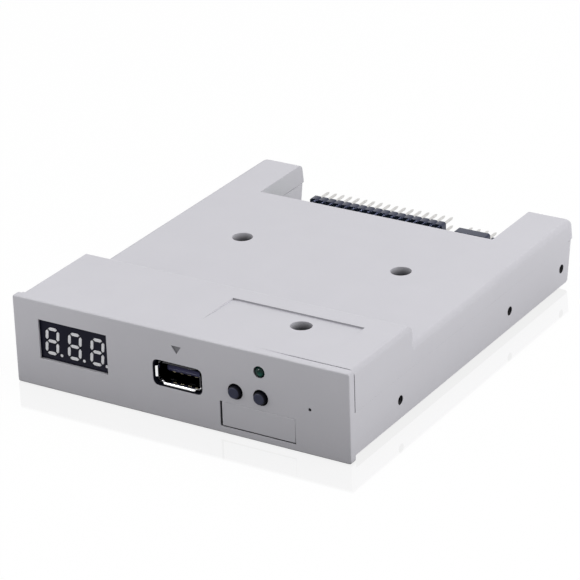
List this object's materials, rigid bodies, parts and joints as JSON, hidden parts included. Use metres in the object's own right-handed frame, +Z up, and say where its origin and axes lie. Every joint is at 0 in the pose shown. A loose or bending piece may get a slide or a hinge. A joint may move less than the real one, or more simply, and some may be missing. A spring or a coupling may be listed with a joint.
{
  "type": "floppy drive emulator",
  "caption": "Closed plastic case in the 3.5-inch floppy drive form, with a memory stick socket, digit display, push buttons and status lamp in front and pin headers in a bay at the rear.",
  "frame": {"origin": "middle of the part's outline seen from above, at the level of the front panel's lower edge", "axes": "+X to the right along the front panel as seen from the front, +Y from the front panel to the rear connectors, +Z up"},
  "size_m": [0.1016, 0.1254, 0.025],
  "materials": {
    "case_plastic": "fine satin moulded plastic",
    "black_plastic": "satin moulded plastic",
    "white_plastic": "satin moulded plastic",
    "display_black": "smooth dark face",
    "display_segment": "diffusing resin",
    "steel": "nickel-plated sheet and wire",
    "pin_steel": "bright tin plate",
    "screw_black": "black zinc",
    "contact_gold": "gold flash",
    "board_green": "solder mask",
    "lamp_green": "tinted clear resin",
    "chip_black": "moulded epoxy",
    "aluminium": "satin sleeve",
    "wire_grey": "soft wire covering"
  },
  "bodies": {
    "case": {"base_shell": "case_plastic", "top_cover": "case_plastic", "cover_screw_rear_left": "screw_black", "cover_screw_rear_right": "screw_black", "cover_screw_front": "screw_black", "board_screw_front_left": "steel", "board_screw_front_right": "steel", "board_screw_rear_left": "steel", "board_screw_rear_right": "steel", "display_screw_left": "steel", "display_screw_right": "steel", "main_circuit_board": "board_green", "usb_socket_shell": "steel", "usb_socket_insulator": "black_plastic", "usb_contact_1": "contact_gold", "usb_contact_2": "contact_gold", "usb_contact_3": "contact_gold", "usb_contact_4": "contact_gold", "switch_housing_left": "black_plastic", "switch_housing_right": "black_plastic", "switch_bracket_left": "steel", "switch_bracket_right": "steel", "switch_dome_left": "steel", "switch_dome_right": "steel", "status_lamp": "lamp_green", "lamp_lead_left": "pin_steel", "lamp_lead_right": "pin_steel", "display_shell": "display_black", "display_segments": "display_segment", "display_board": "board_green", "controller_chip": "chip_black", "buffer_chip_left": "chip_black", "buffer_chip_right": "chip_black", "display_driver_chip": "chip_black", "crystal_can": "steel", "voltage_regulator": "chip_black", "electrolytic_capacitor_front": "aluminium", "electrolytic_capacitor_rear": "aluminium", "resistor_network_left": "black_plastic", "resistor_network_right": "black_plastic", "interface_header_housing": "black_plastic", "interface_header_lower_pins": "pin_steel", "interface_header_upper_pins": "pin_steel", "power_header_housing": "black_plastic", "power_header_pins": "pin_steel", "jumper_block_housing": "black_plastic", "jumper_block_pins": "contact_gold", "jumper_cap_left": "black_plastic", "jumper_cap_right": "black_plastic", "display_lead_front_socket": "white_plastic", "display_lead_front_plug": "white_plastic", "display_lead_rear_socket": "white_plastic", "display_lead_rear_plug": "white_plastic", "display_lead": "wire_grey"},
    "left_button": {"button_left": "black_plastic"},
    "right_button": {"button_right": "black_plastic"}
  },
  "joints": [
    {"name": "left_button_press", "type": "slide", "parent": "case", "child": "left_button", "axis": [0, 1, 0], "range_m": [0, 0.00025], "stiffness_N_per_m": 3000, "springref_m": -0.0002},
    {"name": "right_button_press", "type": "slide", "parent": "case", "child": "right_button", "axis": [0, 1, 0], "range_m": [0, 0.00025], "stiffness_N_per_m": 3000, "springref_m": -0.0002}
  ]
}
